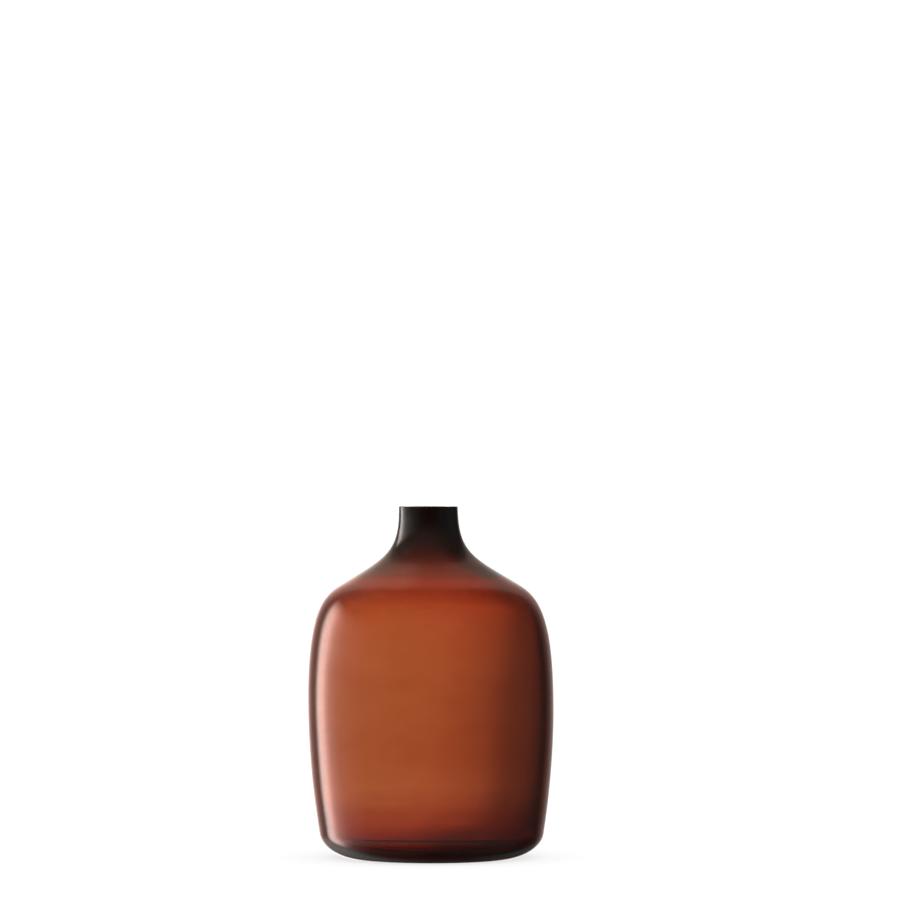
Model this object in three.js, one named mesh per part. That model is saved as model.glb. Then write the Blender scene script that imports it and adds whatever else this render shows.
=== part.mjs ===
// Glass bud vase: a squat mouth-blown bottle with one narrow neck for a stem or two.
// It is cased glass. A clear amber casing carries the whole outside, in four bands, and
// inside it lie a colour lining in the body, a thick dark collar in the neck and a pad in
// the bottom. Millimetres, +Z up. The origin is the centre of the foot, on the surface
// the vase stands on.

import * as THREE from 'three';

// Outside: the outline runs from the lip down the neck, shoulder, side and heel to the foot.
const vaseHeight = 185;
const neckRadius = 15.6;
const flare = { radius: 45.7, height: 144.8, slope: THREE.MathUtils.degToRad(31) };
const widest = { radius: 64.8, height: 82.7 };
const heelTop = { radius: 59.2, height: 12.6, lean: 0.15 };
const footRadius = 43;
const footHollow = { radius: 34, depth: 1.1 };
const lipChamfer = 0.4;

// How far each stretch of the outline keeps its direction at its upper and lower end.
const neckReach = [24.3, 27];
const shoulderReach = [11.3, 49.4];
const sideReach = [34.5, 10.5];
const heelReach = [8.4, 3.9];

// Thickness of the whole wall where the stretches meet, and of the layers in it.
const wallAt = { lip: 5.8, flare: 3.7, widest: 3, heel: 3.8, foot: 4.6 };
const casingThickness = 1.7;
const layerGap = 0.3;

// Where bands and layers end, as heights on the outside of the vase.
const collarFoot = 163;
const barrelTop = 118;
const padTop = 21;

const facetsAround = 48;

const colours = { amber: 0x9c4c27, redBrown: 0x7d341c, nearBlack: 0x2a1310, darkBrown: 0x4a2015 };

const down = new THREE.Vector2(0, -1);
const toAxis = new THREE.Vector2(-1, 0);
const downTheFlare = new THREE.Vector2(Math.cos(flare.slope), -Math.sin(flare.slope));
const downTheHeel = new THREE.Vector2(-Math.sin(heelTop.lean), -Math.cos(heelTop.lean));

function at({ radius, height }) {
  return new THREE.Vector2(radius, height);
}

// A smooth stretch of the outline between two points, with its direction at each, the
// thickness of the wall at each, and the number of facets down it.
function stretch(start, leaving, end, arriving, reach, wall, facets) {
  const curve = new THREE.CubicBezierCurve(
    start,
    start.clone().addScaledVector(leaving, reach[0]),
    end.clone().addScaledVector(arriving, -reach[1]),
    end,
  );
  return { curve, wall, facets };
}

const lip = new THREE.Vector2(neckRadius, vaseHeight);
const foot = new THREE.Vector2(footRadius, 0);
const outline = [
  stretch(lip, down, at(flare), downTheFlare, neckReach, [wallAt.lip, wallAt.flare], 9),
  stretch(at(flare), downTheFlare, at(widest), down, shoulderReach, [wallAt.flare, wallAt.widest], 8),
  stretch(at(widest), down, at(heelTop), downTheHeel, sideReach, [wallAt.widest, wallAt.heel], 5),
  stretch(at(heelTop), downTheHeel, foot, toAxis, heelReach, [wallAt.heel, wallAt.foot], 5),
];

// The surfaces of the layers, as depths into the wall at a point t of a stretch.
const outside = () => 0;
const casingInside = () => casingThickness;
const layerOutside = () => casingThickness + layerGap;
const cavity = ([upper, lower], t) =>
  THREE.MathUtils.lerp(upper, lower, THREE.MathUtils.smoothstep(t, 0, 1));

// The point t of a stretch, moved into the wall square to the outline.
function inward({ curve, wall }, t, surface) {
  const along = curve.getTangent(t);
  const square = new THREE.Vector2(along.y, -along.x);
  return curve.getPoint(t).addScaledVector(square, surface(wall, t));
}

// Where a stretch passes a height, or its nearer end where it doesn't.
function parameterAt(curve, height) {
  let [low, high] = [0, 1];
  while (high - low > 1e-6) {
    const middle = (low + high) / 2;
    if (curve.getPoint(middle).y > height) low = middle;
    else high = middle;
  }
  return low;
}

// The points of a surface from one height down to another.
function skin(surface, top, bottom) {
  const points = [];
  for (const part of outline) {
    const start = parameterAt(part.curve, top);
    const end = parameterAt(part.curve, bottom);
    if (end <= start) continue;
    const count = Math.ceil(part.facets * (end - start));
    for (let i = points.length > 0 ? 1 : 0; i <= count; i += 1) {
      points.push(inward(part, THREE.MathUtils.lerp(start, end, i / count), surface));
    }
  }
  return points;
}

// One closed body of revolution from an outline of (radius, height) points.
function turned(name, points, colour, roughness) {
  const geometry = new THREE.LatheGeometry(points, facetsAround).rotateX(Math.PI / 2);
  const material = new THREE.MeshStandardMaterial({ color: colour, roughness, metalness: 0 });
  const mesh = new THREE.Mesh(geometry, material);
  mesh.name = name;
  return mesh;
}

// A ring of glass between two surfaces that have the same number of points.
function ring(name, inner, outer, colour, roughness) {
  return turned(name, [...inner, ...outer.reverse(), inner[0].clone()], colour, roughness);
}

// Casing of the neck, with the flat ground lip and its small chamfer.
function neckCasing() {
  const outer = skin(outside, vaseHeight, collarFoot);
  const lipEdge = new THREE.Vector2(neckRadius - lipChamfer, vaseHeight);
  outer[0].y -= lipChamfer;
  return ring('neck_casing', skin(casingInside, vaseHeight, collarFoot), [lipEdge, ...outer],
    colours.amber, 0.04);
}

// Casing of the shoulder and of the barrel below it.
function casingBand(name, top, bottom) {
  return ring(name, skin(casingInside, top, bottom), skin(outside, top, bottom),
    colours.amber, 0.04);
}

// Casing of the heel and the foot: a standing ring round a shallow polished hollow.
function footCasing() {
  const inner = skin(casingInside, padTop - layerGap, 0);
  const outer = skin(outside, padTop - layerGap, 0);
  const floor = new THREE.Vector2(0, casingThickness);
  const hollow = [1, 0.7, 0.4, 0].map((share) =>
    new THREE.Vector2(footHollow.radius * share, footHollow.depth * (1 - share * share)));
  return turned('foot_casing', [...hollow.reverse(), ...outer.reverse(), ...inner, floor],
    colours.amber, 0.04);
}

// Colour lining: the inner layer of the shoulder and the barrel.
function colourLining() {
  const [top, bottom] = [collarFoot - layerGap, padTop + layerGap];
  return ring('colour_lining', skin(cavity, top, bottom), skin(layerOutside, top, bottom),
    colours.redBrown, 0.08);
}

// Neck collar: thick, almost black glass round the bore.
function neckCollar() {
  return ring('neck_collar', skin(cavity, vaseHeight, collarFoot),
    skin(layerOutside, vaseHeight, collarFoot), colours.nearBlack, 0.06);
}

// Base pad: the gather in the bottom, a shallow bowl whose rim rises into the wall.
function basePad() {
  const underside = new THREE.Vector2(0, casingThickness + layerGap);
  const floor = new THREE.Vector2(0, wallAt.foot);
  return turned('base_pad', [underside, ...skin(layerOutside, padTop, 0).reverse(),
    ...skin(cavity, padTop, 0), floor], colours.darkBrown, 0.06);
}

const vase = new THREE.Group();
vase.add(
  neckCasing(),
  casingBand('shoulder_casing', collarFoot - layerGap, barrelTop),
  casingBand('body_casing', barrelTop - layerGap, padTop),
  footCasing(),
  neckCollar(),
  colourLining(),
  basePad(),
);

export default vase;
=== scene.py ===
"""Glass bud vase: a squat mouth-blown bottle of amber cased glass, standing in a pale studio.

Metres, +Z up, and the camera looks along +Y. Each layer of glass is a fine surface of
revolution that stands for the CAD nodes of the same layer. The CAD is exactly round and
upright: here the vase also leans and ripples a little, as a mouth-blown one does.
"""
import math

import bpy
import numpy as np
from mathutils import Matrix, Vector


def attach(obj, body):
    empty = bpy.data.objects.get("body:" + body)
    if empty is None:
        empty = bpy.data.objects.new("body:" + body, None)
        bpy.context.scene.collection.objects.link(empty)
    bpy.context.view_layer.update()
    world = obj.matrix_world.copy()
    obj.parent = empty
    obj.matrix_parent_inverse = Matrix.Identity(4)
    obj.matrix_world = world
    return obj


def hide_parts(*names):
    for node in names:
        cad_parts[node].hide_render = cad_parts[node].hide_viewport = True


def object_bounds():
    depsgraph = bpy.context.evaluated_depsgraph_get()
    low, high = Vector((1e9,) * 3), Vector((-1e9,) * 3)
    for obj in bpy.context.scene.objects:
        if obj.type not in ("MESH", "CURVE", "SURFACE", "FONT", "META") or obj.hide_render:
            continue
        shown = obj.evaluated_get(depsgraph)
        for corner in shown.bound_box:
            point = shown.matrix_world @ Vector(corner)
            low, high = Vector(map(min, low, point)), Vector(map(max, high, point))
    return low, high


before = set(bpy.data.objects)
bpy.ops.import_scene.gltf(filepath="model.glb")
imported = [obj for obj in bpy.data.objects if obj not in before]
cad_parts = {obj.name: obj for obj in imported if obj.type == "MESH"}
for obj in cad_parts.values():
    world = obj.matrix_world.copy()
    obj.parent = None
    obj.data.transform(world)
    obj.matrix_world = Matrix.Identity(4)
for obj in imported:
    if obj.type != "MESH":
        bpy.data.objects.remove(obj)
cad_low, cad_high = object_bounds()

MM = 0.001

# Outside of the vase, as in the CAD: the points where its four stretches meet.
HEIGHT = cad_high.z
WIDEST_RADIUS = cad_high.x
NECK_RADIUS = 15.6 * MM
FLARE_RADIUS = 45.7 * MM
FLARE_HEIGHT = 144.8 * MM
FLARE_SLOPE = math.radians(31)
WIDEST_HEIGHT = 82.7 * MM
HEEL_RADIUS = 59.2 * MM
HEEL_HEIGHT = 12.6 * MM
HEEL_LEAN = 0.15
FOOT_RADIUS = 43 * MM
HOLLOW_RADIUS = 34 * MM
HOLLOW_DEPTH = 1.1 * MM
LIP_CHAMFER = 0.4 * MM

# How far each stretch keeps its direction at its upper and lower end.
NECK_REACH = (24.3 * MM, 27 * MM)
SHOULDER_REACH = (11.3 * MM, 49.4 * MM)
SIDE_REACH = (34.5 * MM, 10.5 * MM)
HEEL_REACH = (8.4 * MM, 3.9 * MM)

# The wall's whole thickness where the stretches meet, and the layers in it. The casing glass
# is drawn as the whole wall. The other layers are fused into it: they start at the casing's
# depth and end a skin short of the cavity, bend no light and only add their own colour.
WALL_AT_LIP = 5.8 * MM
WALL_AT_FLARE = 3.7 * MM
WALL_AT_WIDEST = 3.0 * MM
WALL_AT_HEEL = 3.8 * MM
WALL_AT_FOOT = 4.6 * MM
CASING = 1.7 * MM
SKIN = 0.05 * MM

# Where the layers end, on their outside and inside: each thins out to nothing along a slope,
# so no edge of one shows in the wall.
COLLAR_FOOT = (168 * MM, 148.5 * MM)
LINING_TOP = (149 * MM, 155 * MM)
LINING_FOOT = (33 * MM, 60 * MM)
PAD_TOP = (32.9 * MM, 6 * MM)

# What the blowing left: the neck leans to the left, and the skin ripples. Each ripple has its
# share, the number of its waves round the vase, how far they turn up the height, and its start.
LEAN = 1.7 * MM
LEAN_POWER = 1.8
RIPPLE = 0.12 * MM
RIPPLES = ((1, 2, 5, 0), (0.6, 3, -9, 1.3), (0.35, 5, 21, 0.4))

# Fineness: segments round the vase, steps down each stretch, points across the hollow, how
# closely a place on a stretch is found, the radius within which a point counts as on the axis,
# and the angle from which an edge is sharp.
SEGMENTS = 288
NECK_STEPS = 70
SHOULDER_STEPS = 70
SIDE_STEPS = 60
HEEL_STEPS = 72
HOLLOW_POINTS = 24
CLOSE_ENOUGH = 1e-7
AXIS = 0.02 * MM
CREASE = math.radians(6)

DOWN = np.array((0.0, -1.0))
TO_AXIS = np.array((-1.0, 0.0))
DOWN_THE_FLARE = np.array((math.cos(FLARE_SLOPE), -math.sin(FLARE_SLOPE)))
DOWN_THE_HEEL = np.array((-math.sin(HEEL_LEAN), -math.cos(HEEL_LEAN)))


# --- the outline ----------------------------------------------------------------------------

class Stretch:
    """A smooth stretch of the outline: a cubic between two points with given directions."""

    def __init__(self, start, leaving, end, arriving, reach, wall, steps):
        start = np.array(start)
        end = np.array(end)
        self.points = (start, start + leaving * reach[0], end - arriving * reach[1], end)
        self.wall = wall
        self.steps = steps

    def point(self, t):
        a, b, c, d = self.points
        s = 1 - t
        return s**3 * a + 3 * s * s * t * b + 3 * s * t * t * c + t**3 * d

    def tangent(self, t):
        a, b, c, d = self.points
        s = 1 - t
        slope = s * s * (b - a) + 2 * s * t * (c - b) + t * t * (d - c)
        return slope / np.linalg.norm(slope)

    def thickness(self, t):
        """The wall's whole thickness, which eases from one end of the stretch to the other."""
        return self.wall[0] + (self.wall[1] - self.wall[0]) * t * t * (3 - 2 * t)

    def inside(self, t, surface):
        """The point at t, moved into the glass square to the outline."""
        along = self.tangent(t)
        place = self.point(t)
        return place + surface(self.thickness(t), place[1]) * np.array((along[1], -along[0]))

    def at_height(self, height):
        """Where the stretch passes a height, or its nearer end where it doesn't."""
        low, high = 0.0, 1.0
        while high - low > CLOSE_ENOUGH:
            middle = (low + high) / 2
            if self.point(middle)[1] > height:
                low = middle
            else:
                high = middle
        return low


LIP = (NECK_RADIUS, HEIGHT)
FLARE = (FLARE_RADIUS, FLARE_HEIGHT)
WIDEST = (WIDEST_RADIUS, WIDEST_HEIGHT)
HEEL = (HEEL_RADIUS, HEEL_HEIGHT)
FOOT = (FOOT_RADIUS, 0.0)
OUTLINE = (
    Stretch(LIP, DOWN, FLARE, DOWN_THE_FLARE, NECK_REACH,
            (WALL_AT_LIP, WALL_AT_FLARE), NECK_STEPS),
    Stretch(FLARE, DOWN_THE_FLARE, WIDEST, DOWN, SHOULDER_REACH,
            (WALL_AT_FLARE, WALL_AT_WIDEST), SHOULDER_STEPS),
    Stretch(WIDEST, DOWN, HEEL, DOWN_THE_HEEL, SIDE_REACH,
            (WALL_AT_WIDEST, WALL_AT_HEEL), SIDE_STEPS),
    Stretch(HEEL, DOWN_THE_HEEL, FOOT, TO_AXIS, HEEL_REACH,
            (WALL_AT_HEEL, WALL_AT_FOOT), HEEL_STEPS),
)


# The surfaces of the layers, as depths into the wall by its thickness and the height outside.
def outside(thickness, height):
    return 0.0


def cavity(thickness, height):
    return thickness


def layer_outside(thickness, height):
    return CASING


def layer_inside(thickness, height):
    return thickness - SKIN


def sloped(end):
    """The surface along which a layer thins out, given where it ends on its outside and inside."""
    def surface(thickness, height):
        share = (height - end[0]) / (end[1] - end[0])
        return CASING + share * (thickness - SKIN - CASING)
    return surface


def skin(surface, top=HEIGHT, bottom=0.0):
    """The points of a surface from one height of the outside down to another."""
    points = []
    for stretch in OUTLINE:
        start = stretch.at_height(top)
        end = stretch.at_height(bottom)
        if end <= start:
            continue
        count = math.ceil(stretch.steps * (end - start))
        stops = np.linspace(start, end, count + 1)
        points += [stretch.inside(t, surface) for t in stops[1 if points else 0:]]
    return points


# --- bodies of revolution -------------------------------------------------------------------

def blown(radius, angle, height):
    """The place of a point of the round outline once the vase leans and ripples.

    The lean grows towards the lip, and the ripple dies out at the foot and the lip.
    """
    up = height / HEIGHT
    ripple = RIPPLE * sum(share * math.sin(waves * angle + turn * up + start)
                          for share, waves, turn, start in RIPPLES)
    fade = 4 * up * (1 - up)
    swollen = radius * (1 + ripple * fade / WIDEST_RADIUS)
    lean = -LEAN * max(up, 0) ** LEAN_POWER
    return (swollen * math.cos(angle) + lean, swollen * math.sin(angle), height)


def turned(name, profile, closed):
    """A body of revolution. The profile starts and ends on the axis, or is closed on itself."""
    angles = np.linspace(0, 2 * math.pi, SEGMENTS, endpoint=False)
    vertices = []
    rings = []
    for radius, height in profile:
        first = len(vertices)
        if radius < AXIS:
            vertices.append(blown(0.0, 0.0, height))
            rings.append([first] * SEGMENTS)
        else:
            vertices += [blown(radius, angle, height) for angle in angles]
            rings.append(list(range(first, first + SEGMENTS)))
    if closed:
        rings.append(rings[0])
    faces = []
    for upper, lower in zip(rings, rings[1:]):
        for i in range(SEGMENTS):
            j = (i + 1) % SEGMENTS
            corners = tuple(dict.fromkeys((upper[i], lower[i], lower[j], upper[j])))
            if len(corners) > 2:
                faces.append(corners)
    mesh = bpy.data.meshes.new(name)
    mesh.from_pydata(vertices, [], faces)
    mesh.validate()
    mesh.shade_smooth()
    mesh.set_sharp_from_angle(angle=CREASE)
    piece = bpy.data.objects.new(name, mesh)
    bpy.context.scene.collection.objects.link(piece)
    return piece


def amber_casing():
    """The wall of the vase, from the ground lip to the polished hollow under the foot."""
    outer = skin(outside)
    outer[0] = outer[0] + LIP_CHAMFER * DOWN
    lip_edge = np.array((NECK_RADIUS - LIP_CHAMFER, HEIGHT))
    hollow = [np.array((HOLLOW_RADIUS * share, HOLLOW_DEPTH * (1 - share * share)))
              for share in np.linspace(1, 0, HOLLOW_POINTS)]
    floor = np.array((0.0, WALL_AT_FOOT))
    return turned("amber_casing", [floor, *skin(cavity)[::-1], lip_edge, *outer, *hollow],
                  closed=False)


def lining():
    """The red-brown layer of the shoulder and the body."""
    upper = skin(sloped(LINING_TOP), LINING_TOP[1], LINING_TOP[0])
    outer = skin(layer_outside, LINING_TOP[0], LINING_FOOT[0])
    lower = skin(sloped(LINING_FOOT), LINING_FOOT[0], LINING_FOOT[1])
    inner = skin(layer_inside, LINING_TOP[1], LINING_FOOT[1])
    return turned("red_brown_lining", [*upper, *outer[1:], *lower[1:], *inner[-2:0:-1]],
                  closed=True)


def collar():
    """The thick dark glass round the bore."""
    outer = skin(layer_outside, HEIGHT - SKIN, COLLAR_FOOT[0])
    slope = skin(sloped(COLLAR_FOOT), COLLAR_FOOT[0], COLLAR_FOOT[1])
    bore = skin(layer_inside, HEIGHT - SKIN, COLLAR_FOOT[1])
    return turned("dark_collar", [*outer, *slope[1:], *bore[-2::-1]], closed=True)


def pad():
    """The dark gather in the bottom, which thins out up the side."""
    floor = np.array((0.0, WALL_AT_FOOT - SKIN))
    underside = np.array((0.0, CASING))
    outer = skin(layer_outside, PAD_TOP[0])
    slope = skin(sloped(PAD_TOP), PAD_TOP[0], PAD_TOP[1])
    inner = skin(layer_inside, PAD_TOP[1])
    return turned("dark_pad", [floor, *inner[::-1], *slope[-2::-1], *outer[1:], underside],
                  closed=False)


# --- shader helpers -------------------------------------------------------------------------

def calculate(tree, operation, *terms):
    """A Math node: each term is a number or a socket."""
    node = tree.nodes.new("ShaderNodeMath")
    node.operation = operation
    for socket, term in zip(node.inputs, terms):
        if isinstance(term, (int, float)):
            socket.default_value = term
        else:
            tree.links.new(term, socket)
    return node.outputs[0]


def eased(tree, value, start, end):
    """0 below start, 1 above end and smooth between."""
    node = tree.nodes.new("ShaderNodeMapRange")
    node.interpolation_type = "SMOOTHSTEP"
    node.inputs["From Min"].default_value = start
    node.inputs["From Max"].default_value = end
    tree.links.new(value, node.inputs["Value"])
    return node.outputs[0]


def blend(tree, share, low, high):
    """low where share is 0 and high where it is 1: each is a number or a socket."""
    node = tree.nodes.new("ShaderNodeMix")
    node.data_type = "FLOAT"
    for socket, term in zip((node.inputs[0], node.inputs[2], node.inputs[3]), (share, low, high)):
        if isinstance(term, (int, float)):
            socket.default_value = term
        else:
            tree.links.new(term, socket)
    return node.outputs[0]


def tinted(tree, share, low, high):
    """The colour low where share is 0 and high where it is 1: each is a colour or a socket."""
    node = tree.nodes.new("ShaderNodeMix")
    node.data_type = "RGBA"
    tree.links.new(share, node.inputs[0])
    for socket, colour in zip((node.inputs[6], node.inputs[7]), (low, high)):
        if isinstance(colour, tuple):
            socket.default_value = (*colour, 1)
        else:
            tree.links.new(colour, socket)
    return node.outputs[2]


def graph(tree, value, stops):
    """A value read off a curve of (place, height) stops."""
    first = stops[0][0]
    last = stops[-1][0]
    peak = max(height for _, height in stops)
    place = tree.nodes.new("ShaderNodeMapRange")
    place.inputs["From Min"].default_value = first
    place.inputs["From Max"].default_value = last
    tree.links.new(value, place.inputs["Value"])
    ramp = tree.nodes.new("ShaderNodeValToRGB")
    tree.links.new(place.outputs[0], ramp.inputs["Fac"])
    elements = ramp.color_ramp.elements
    # A new ramp has two elements: the first one takes the first stop.
    elements.remove(elements[-1])
    for i, (at, height) in enumerate(stops):
        element = elements[0] if i == 0 else elements.new(1)
        element.position = (at - first) / (last - first)
        element.color = (height / peak, height / peak, height / peak, 1)
    return calculate(tree, "MULTIPLY", ramp.outputs["Color"], peak)


# --- glass ----------------------------------------------------------------------------------

# How fast each glass takes out red, green and blue light, per metre. DEEPEST keeps every channel
# of an absorption colour above 0: the channel that a glass absorbs most gets 1 - DEEPEST.
AMBER = (104, 325, 510)
LINING = (45, 140, 220)
COLLAR = (500, 520, 470)
PAD = (110, 350, 500)
DEEPEST = 0.95
GLASS_IOR = 1.5
FUSED_IOR = 1.0

# Traces of the making. Noise scales are per metre, stretched round the vase or up it.
CLEAR = (1.0, 1.0, 1.0)
NOISE_DETAIL = 3
CORD_SCALE = 70
CORD_STRETCH = (0.6, 0.6, 1.6)
CORD_DEPTH = 0.03 * MM

# Wisps in each glass: their tint, scale and stretch, and the noise values between which they show.
AMBER_WISPS = ((0.98, 0.965, 0.95), 30, (1, 1, 0.25))
LINING_WISPS = ((0.97, 0.93, 0.9), 40, (0.6, 0.6, 1.5))
COLLAR_WISPS = ((0.95, 0.93, 0.93), 120, (1, 1, 0.4))
PAD_WISPS = ((0.95, 0.92, 0.9), 60, (1, 1, 2))
WISPS_SHOW = (0.42, 0.75)

# Roughness of the skin where it was handled, ground and worn, and where each begins and ends.
HANDLING_SCALE = 45
HANDLING_SHOWS = (0.5, 0.8)
HANDLED = 0.03
GROUND_LIP = 0.12
LIP_GROUND_OVER = (HEIGHT - LIP_CHAMFER, HEIGHT - LIP_CHAMFER / 4)
WORN_RING = 0.3
RING_WORN_OVER = (0.3 * MM, 0.05 * MM)


def noise(tree, scale, stretch=(1, 1, 1)):
    """Smooth noise round 0.5 in the vase's own space."""
    mapping = tree.nodes.new("ShaderNodeMapping")
    mapping.inputs["Scale"].default_value = stretch
    tree.links.new(tree.nodes.new("ShaderNodeTexCoord").outputs["Object"], mapping.inputs["Vector"])
    texture = tree.nodes.new("ShaderNodeTexNoise")
    texture.inputs["Scale"].default_value = scale
    texture.inputs["Detail"].default_value = NOISE_DETAIL
    tree.links.new(mapping.outputs["Vector"], texture.inputs["Vector"])
    return texture.outputs[0]


def glass(name, absorbed, ior, wisp, wisp_scale, wisp_stretch):
    """Clear glass that colours the light by how far it travels, with faint wisps of a tint."""
    material = bpy.data.materials.new(name)
    material.use_nodes = True
    tree = material.node_tree
    shader = tree.nodes["Principled BSDF"]
    wisps = eased(tree, noise(tree, wisp_scale, wisp_stretch), *WISPS_SHOW)
    tree.links.new(tinted(tree, wisps, CLEAR, wisp), shader.inputs["Base Color"])
    shader.inputs["Transmission Weight"].default_value = 1
    shader.inputs["IOR"].default_value = ior
    shader.inputs["Roughness"].default_value = 0
    density = max(absorbed) / DEEPEST
    absorption = tree.nodes.new("ShaderNodeVolumeAbsorption")
    absorption.inputs["Color"].default_value = (*(1 - amount / density for amount in absorbed), 1)
    absorption.inputs["Density"].default_value = density
    tree.links.new(absorption.outputs["Volume"], tree.nodes["Material Output"].inputs["Volume"])
    return material


def worked_skin(material):
    """The skin of the wall: faint cords, handling marks, a ground lip and a worn standing ring."""
    tree = material.node_tree
    shader = tree.nodes["Principled BSDF"]
    cords = tree.nodes.new("ShaderNodeBump")
    cords.inputs["Distance"].default_value = CORD_DEPTH
    tree.links.new(noise(tree, CORD_SCALE, CORD_STRETCH), cords.inputs["Height"])
    tree.links.new(cords.outputs["Normal"], shader.inputs["Normal"])
    parts = tree.nodes.new("ShaderNodeSeparateXYZ")
    tree.links.new(tree.nodes.new("ShaderNodeTexCoord").outputs["Object"], parts.inputs[0])
    height = parts.outputs["Z"]
    marks = eased(tree, noise(tree, HANDLING_SCALE), *HANDLING_SHOWS)
    roughness = calculate(tree, "MULTIPLY", marks, HANDLED)
    at_lip = eased(tree, height, *LIP_GROUND_OVER)
    roughness = blend(tree, at_lip, roughness, GROUND_LIP)
    at_ring = eased(tree, height, *RING_WORN_OVER)
    roughness = blend(tree, at_ring, roughness, WORN_RING)
    tree.links.new(roughness, shader.inputs["Roughness"])
    return material


def amber_glass():
    return worked_skin(glass("amber casing glass", AMBER, GLASS_IOR, *AMBER_WISPS))


def lining_glass():
    return glass("lining glass", LINING, FUSED_IOR, *LINING_WISPS)


def collar_glass():
    return glass("dark collar glass", COLLAR, FUSED_IOR, *COLLAR_WISPS)


def pad_glass():
    return glass("dark pad glass", PAD, FUSED_IOR, *PAD_WISPS)


def place(piece, nodes, slot, material):
    """Gives a piece its glass, hangs it on the root body and hides the CAD nodes it stands for."""
    piece.data.materials.append(material)
    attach(piece, "root")
    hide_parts(*nodes)


place(amber_casing(), ("neck_casing", "shoulder_casing", "body_casing", "foot_casing"),
      "amber_casing_glass", amber_glass())
place(lining(), ("colour_lining",), "lining_glass", lining_glass())
place(collar(), ("neck_collar",), "dark_collar_glass", collar_glass())
place(pad(), ("base_pad",), "dark_pad_glass", pad_glass())


# --- studio ---------------------------------------------------------------------------------

# In the studio's pairs of limits, height is the upward part of a direction of length 1, right
# its part to the right and back its part away from the camera.

# Brightness of the studio to the camera and the floor, and its colours to the glass: neutral
# where it is seen through, warm where it is mirrored, and warmer with height.
WHITE = 1.1
NEUTRAL = (1.0, 1.0, 1.0)
WARM = (1.0, 0.93, 0.87)
WARMER = (1.0, 0.76, 0.62)
WARMS_OVER = (0.15, 0.5)

# The studio as the glass mirrors it: brightness by degrees round from the camera's side,
# positive to the right, level with the vase, above it, on the floor and straight below.
LEVEL = (
    (-180, 1.9), (-171, 1.8), (-165, 1.25), (-160, 0.8), (-155, 0.5), (-147, 0.3), (-69, 0.3),
    (-47, 0.22), (-28, 0.12), (0, 0.06), (28, 0.08), (50, 0.15), (93, 0.18), (114, 0.12),
    (135, 0.05), (146, 0.12), (156, 0.27), (164, 0.38), (170, 0.65), (177, 1.3), (180, 1.6),
)
ABOVE = (
    (-180, 0.46), (-162, 0.72), (-152, 0.66), (-144, 0.38), (-125, 0.28), (-108, 0.45),
    (-80, 0.36), (0, 0.33), (61, 0.26), (90, 0.22), (125, 0.13), (144, 0.2), (151, 0.43),
    (180, 0.5),
)
OVERHEAD = 0.27
ON_FLOOR = (
    (-180, 0.08), (-171, 0.15), (-163, 0.35), (-146, 0.7), (-92, 0.48), (-30, 0.44), (0, 0.36),
    (61, 0.28), (90, 0.18), (106, 0.12), (125, 0.05), (145, 0.045), (158, 0.13), (171, 0.05),
    (180, 0.08),
)
UNDERNEATH = (
    (-180, 0.05), (-160, 0.06), (-120, 0.14), (0, 0.13), (110, 0.11), (150, 0.05), (180, 0.05),
)

# The heights over which LEVEL gives way to the others.
TO_ABOVE = (0.1, 0.6)
TO_OVERHEAD = (0.84, 0.97)
TO_FLOOR = (-0.15, -0.35)
TO_UNDERNEATH = (-0.55, -0.85)

# A tall softbox stands to the left and behind: its glow falls off towards the camera. Above
# level it widens to both sides of SOFTBOX_EDGE. Its other limits are heights too.
SOFTBOX = (
    (-138, 0), (-134, 1.4), (-130, 3.9), (-121, 4.4), (-117, 3.0), (-111, 1.75), (-105, 1.2),
    (-98, 0.75), (-88, 0.42), (-69, 0.08), (-50, 0),
)
SOFTBOX_EDGE = -134
SOFTBOX_WIDER_ABOVE = 1.18
SOFTBOX_WIDENS_OVER = (0.0, 0.1)
SOFTBOX_TOP = (0.52, 0.3)
SOFTBOX_FOOT = (-0.68, -0.36)

# The room that the far wall mirrors: dim toward the camera, and behind the vase brighter at the
# left and nearly dark at the right. Light that keeps the camera's own slope meets less of it.
# AWAY_FROM_CAMERA is a pair of limits for back, and the two FALLS_OVER are pairs for right.
FAR_WALL_ROOM = 0.15
AWAY_FROM_CAMERA = (0.3, 0.9)
LEVEL_BEHIND = (0.4, 0.04)
LEVEL_BEHIND_FALLS_OVER = (-0.7, -0.3)
SLOPING_BEHIND = (0.6, 0.04)
SLOPING_BEHIND_FALLS_OVER = (-0.2, 0.05)
CAMERA_SLOPE = -0.05
OFF_CAMERA_SLOPE = (0.03, 0.1)
# Faces that light passes on its way through the near wall and one layer to the cavity and back.
NEAR_WALL_FACES = 6

# What shows through the glass: white all round, and dark below, over these heights.
DARK_BELOW = 0.03
DARKENS_OVER = (-0.25, -0.6)

FLOOR_SIZE = 60
FLOOR_GREY = (0.3, 0.3, 0.3)
FLOOR_GLOW = 0.75

# Brightness of the backdrop close behind the vase, by metres across it and up it. Its right
# side is dim, and the edge of the bright part leans by LEANING with height.
ACROSS = (
    (-0.18, 0.9), (-0.08, 0.9), (-0.03, 0.97), (0.003, 0.89), (0.038, 0.86), (0.059, 0.73),
    (0.074, 0.61), (0.09, 0.39), (0.099, 0.3), (0.11, 0.26), (0.122, 0.24), (0.135, 0.17),
    (0.155, 0.08), (0.183, 0.05), (0.24, 0.05),
)
LEANING = (
    (-0.2, 0.09), (-0.11, 0.085), (-0.067, 0.088), (0.005, 0.04), (0.066, 0.04), (0.12, 0.027),
    (0.15, 0.014), (0.18, 0.028),
)
UPWARD = (
    (-0.3, 0.0), (-0.2, 0.6), (-0.1, 1.0), (0.03, 1.0), (0.08, 1.04), (0.125, 1.16), (0.2, 1.25),
)
YELLOWER = (1.0, 1.25, 1.2)
REDDER = (1.0, 0.88, 0.98)
REDDENS_OVER = (-0.09, 0.04)
BACKDROP_HALF_WIDTH = 0.36
BACKDROP_FADES_FROM = 0.2
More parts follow.
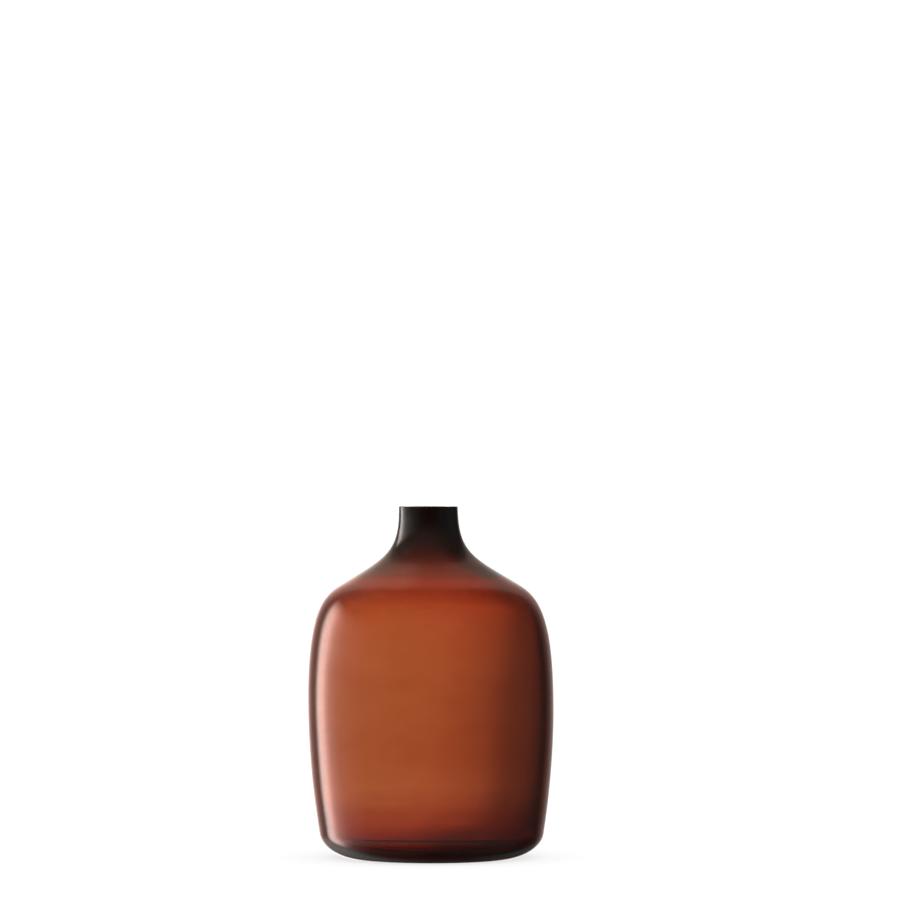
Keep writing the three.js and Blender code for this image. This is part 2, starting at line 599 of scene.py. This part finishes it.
BACKDROP_TOP = 0.6
BACKDROP_BOTTOM = -0.4
BACKDROP_PLACE = 0.35


def softbox_glow(tree, degrees, height):
    """The softbox as the glass mirrors it, in the direction of these degrees and height."""
    past_edge = calculate(tree, "SUBTRACT", degrees, SOFTBOX_EDGE)
    widening = eased(tree, height, *SOFTBOX_WIDENS_OVER)
    narrowing = blend(tree, widening, 1.0, 1 / SOFTBOX_WIDER_ABOVE)
    round_softbox = calculate(tree, "MULTIPLY_ADD", past_edge, narrowing, SOFTBOX_EDGE)
    below_top = eased(tree, height, *SOFTBOX_TOP)
    above_foot = eased(tree, height, *SOFTBOX_FOOT)
    upright = calculate(tree, "MULTIPLY", below_top, above_foot)
    return calculate(tree, "MULTIPLY", graph(tree, round_softbox, SOFTBOX), upright)


def mirrored_studio(tree, degrees, height):
    """Brightness of the studio as the near wall mirrors it."""
    room = blend(tree, eased(tree, height, *TO_ABOVE),
                 graph(tree, degrees, LEVEL), graph(tree, degrees, ABOVE))
    room = blend(tree, eased(tree, height, *TO_OVERHEAD), room, OVERHEAD)
    room = blend(tree, eased(tree, height, *TO_FLOOR), room, graph(tree, degrees, ON_FLOOR))
    room = blend(tree, eased(tree, height, *TO_UNDERNEATH), room,
                 graph(tree, degrees, UNDERNEATH))
    return calculate(tree, "ADD", room, softbox_glow(tree, degrees, height))


def room_off_far_wall(tree, right, back, height):
    """Brightness of the dim room that the far wall mirrors."""
    level_behind = blend(tree, eased(tree, right, *LEVEL_BEHIND_FALLS_OVER), *LEVEL_BEHIND)
    sloping_behind = blend(tree, eased(tree, right, *SLOPING_BEHIND_FALLS_OVER), *SLOPING_BEHIND)
    slope = calculate(tree, "ABSOLUTE", calculate(tree, "SUBTRACT", height, CAMERA_SLOPE))
    behind = blend(tree, eased(tree, slope, *OFF_CAMERA_SLOPE), level_behind, sloping_behind)
    return blend(tree, eased(tree, back, *AWAY_FROM_CAMERA), FAR_WALL_ROOM, behind)


def studio_world():
    """White for the camera and the floor. Glass meets a studio with dark and bright sides."""
    world = bpy.data.worlds.new("studio")
    world.use_nodes = True
    tree = world.node_tree
    parts = tree.nodes.new("ShaderNodeSeparateXYZ")
    direction = tree.nodes.new("ShaderNodeTexCoord").outputs["Generated"]
    tree.links.new(direction, parts.inputs[0])
    right, back, height = parts.outputs
    toward_camera = calculate(tree, "MULTIPLY", back, -1)
    degrees = calculate(tree, "DEGREES", calculate(tree, "ARCTAN2", right, toward_camera))

    # Light that the near wall mirrors has come through few faces. All other mirrored light
    # comes off the far wall.
    path = tree.nodes.new("ShaderNodeLightPath")
    from_near_wall = calculate(tree, "LESS_THAN", path.outputs["Transmission Depth"],
                               NEAR_WALL_FACES + 0.5)
    mirrored = blend(tree, from_near_wall, room_off_far_wall(tree, right, back, height),
                     mirrored_studio(tree, degrees, height))
    through = blend(tree, eased(tree, height, *DARKENS_OVER), 1.0, DARK_BELOW)
    once_mirrored = calculate(tree, "GREATER_THAN", path.outputs["Glossy Depth"], 0.5)
    in_glass = blend(tree, once_mirrored, through, mirrored)
    met_glass = calculate(tree, "MAXIMUM", path.outputs["Is Glossy Ray"],
                          path.outputs["Is Transmission Ray"])
    background = tree.nodes["Background"]
    warm = tinted(tree, eased(tree, height, *WARMS_OVER), WARM, WARMER)
    tree.links.new(tinted(tree, once_mirrored, NEUTRAL, warm), background.inputs["Color"])
    tree.links.new(blend(tree, met_glass, WHITE, in_glass), background.inputs["Strength"])
    bpy.context.scene.world = world


def empty_material(name):
    """A material whose surface is still to be linked, with its output node."""
    material = bpy.data.materials.new(name)
    material.use_nodes = True
    material.node_tree.nodes.clear()
    return material, material.node_tree.nodes.new("ShaderNodeOutputMaterial")


def pale_paper():
    """Matt paper that is lit from within as well, so the floor stays pale."""
    material, out = empty_material("studio floor")
    tree = material.node_tree
    paper = tree.nodes.new("ShaderNodeBsdfDiffuse")
    paper.inputs["Color"].default_value = (*FLOOR_GREY, 1)
    lit = tree.nodes.new("ShaderNodeEmission")
    lit.inputs["Strength"].default_value = FLOOR_GLOW
    pale = tree.nodes.new("ShaderNodeAddShader")
    tree.links.new(paper.outputs[0], pale.inputs[0])
    tree.links.new(lit.outputs[0], pale.inputs[1])
    tree.links.new(pale.outputs[0], out.inputs["Surface"])
    return material


def studio_floor():
    """A pale floor that the camera sees. Glass sees through it to the studio below."""
    bpy.ops.mesh.primitive_plane_add(size=FLOOR_SIZE)
    floor = bpy.context.object
    floor.name = "studio_floor"
    floor.visible_glossy = False
    floor.visible_transmission = False
    floor.data.materials.append(pale_paper())


def backdrop_light():
    """The backdrop's light. Its sides are clear, and so is all of it to mirrored light."""
    material, out = empty_material("lit backdrop")
    tree = material.node_tree
    parts = tree.nodes.new("ShaderNodeSeparateXYZ")
    tree.links.new(tree.nodes.new("ShaderNodeNewGeometry").outputs["Position"], parts.inputs[0])
    right = parts.outputs["X"]
    height = parts.outputs["Z"]
    leaning = graph(tree, height, LEANING)
    across = graph(tree, calculate(tree, "ADD", right, leaning), ACROSS)
    shine = tree.nodes.new("ShaderNodeEmission")
    tint = tinted(tree, eased(tree, right, *REDDENS_OVER), YELLOWER, REDDER)
    tree.links.new(tint, shine.inputs["Color"])
    strength = calculate(tree, "MULTIPLY", across, graph(tree, height, UPWARD))
    tree.links.new(strength, shine.inputs["Strength"])
    path = tree.nodes.new("ShaderNodeLightPath")
    mirrored = calculate(tree, "GREATER_THAN", path.outputs["Glossy Depth"], 0.5)
    from_middle = calculate(tree, "ABSOLUTE", right)
    at_side = eased(tree, from_middle, BACKDROP_FADES_FROM, BACKDROP_HALF_WIDTH)
    mix = tree.nodes.new("ShaderNodeMixShader")
    tree.links.new(calculate(tree, "MAXIMUM", mirrored, at_side), mix.inputs[0])
    tree.links.new(shine.outputs[0], mix.inputs[1])
    tree.links.new(tree.nodes.new("ShaderNodeBsdfTransparent").outputs[0], mix.inputs[2])
    tree.links.new(mix.outputs[0], out.inputs["Surface"])
    return material


def lit_backdrop():
    """The bright backdrop behind the vase, seen only through the glass. It fades to the right."""
    bpy.ops.mesh.primitive_plane_add(size=1)
    panel = bpy.context.object
    panel.name = "lit_backdrop"
    panel.scale = (2 * BACKDROP_HALF_WIDTH, BACKDROP_TOP - BACKDROP_BOTTOM, 1)
    panel.rotation_euler = (math.pi / 2, 0, 0)
    panel.location = (0, BACKDROP_PLACE, (BACKDROP_TOP + BACKDROP_BOTTOM) / 2)
    panel.data.materials.append(backdrop_light())
    panel.visible_camera = False
    panel.visible_diffuse = False
    panel.visible_glossy = False
    panel.visible_shadow = False
    panel.visible_volume_scatter = False


studio_world()
studio_floor()
lit_backdrop()


# --- camera ---------------------------------------------------------------------------------

FRAME_WIDTH = 0.47466
CAMERA_DISTANCE = 2.767
CAMERA_X = 0.00978
CAMERA_HEIGHT = 0.21465
SENSOR = 36

camera = bpy.data.objects.new("camera", bpy.data.cameras.new("camera"))
camera.data.sensor_width = SENSOR
camera.data.lens = SENSOR * CAMERA_DISTANCE / FRAME_WIDTH
camera.location = (CAMERA_X, -CAMERA_DISTANCE, CAMERA_HEIGHT)
camera.rotation_euler = (math.pi / 2, 0, 0)
scene = bpy.context.scene
scene.collection.objects.link(camera)
scene.camera = camera

scene.view_settings.view_transform = "Standard"
scene.cycles.max_bounces = 32
scene.cycles.transmission_bounces = 32
scene.cycles.glossy_bounces = 16
scene.cycles.transparent_max_bounces = 64
scene.cycles.use_denoising = True
